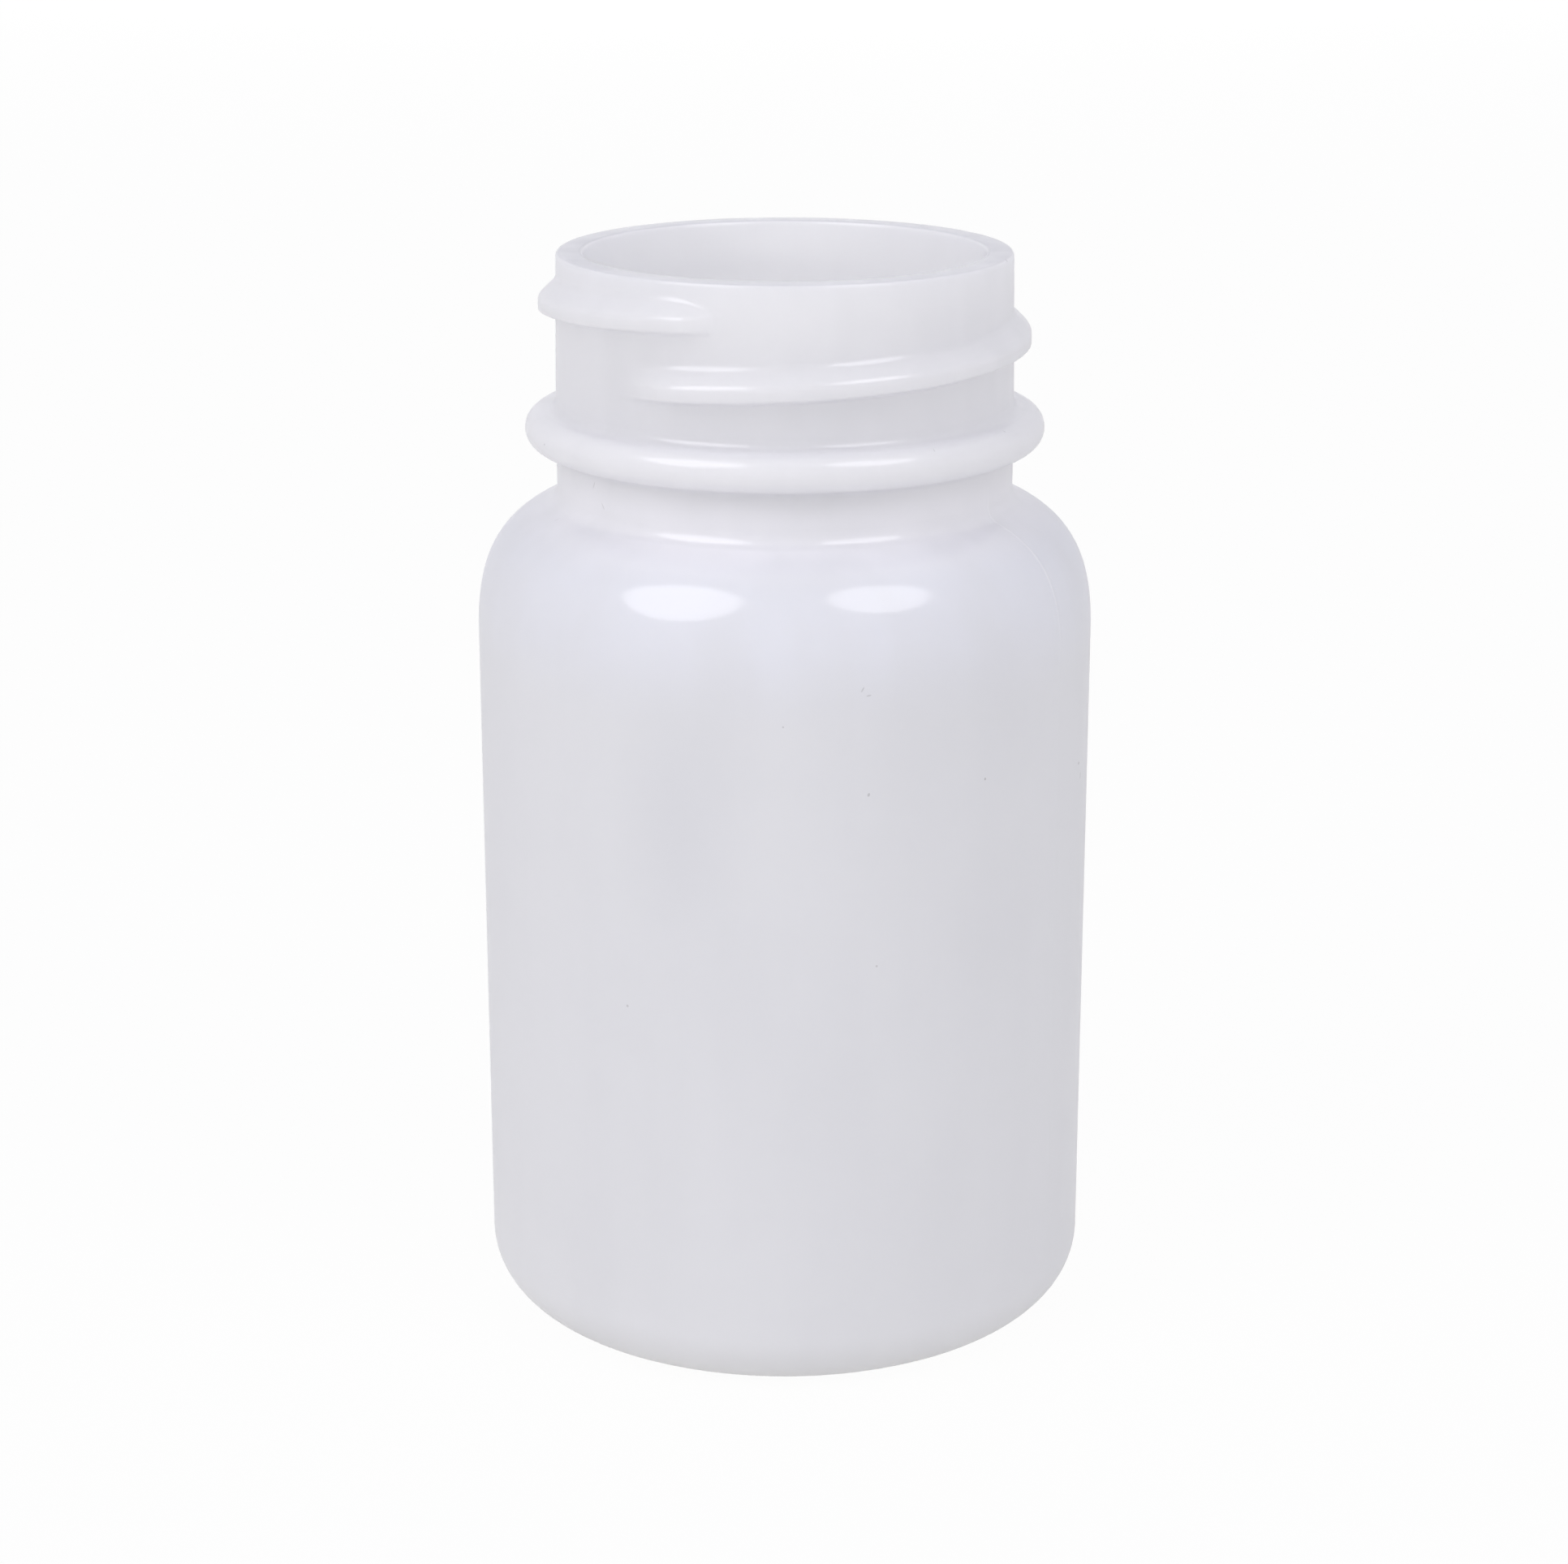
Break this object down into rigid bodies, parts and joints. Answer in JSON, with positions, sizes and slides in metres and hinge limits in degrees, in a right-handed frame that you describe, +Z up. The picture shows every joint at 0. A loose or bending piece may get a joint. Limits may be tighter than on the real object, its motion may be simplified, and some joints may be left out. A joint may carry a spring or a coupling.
{
  "type": "reagent bottle",
  "caption": "Small round wide-mouth bottle in natural plastic with a threaded neck and a carrying bead, open at the top, for storing and pouring laboratory reagents.",
  "frame": {"origin": "on the axis of the bottle, in the plane of the ring that it stands on", "axes": "+Z up along the axis, out of the mouth; -Y to the front, where the two ends of the thread overlap; +X to the right of the front"},
  "size_m": [0.0402, 0.0402, 0.071],
  "materials": {
    "natural_hdpe": "satin, milky and slightly see-through, as natural high-density polyethylene is when blown"
  },
  "bodies": {
    "root": {"bottle": "natural_hdpe"}
  },
  "joints": []
}
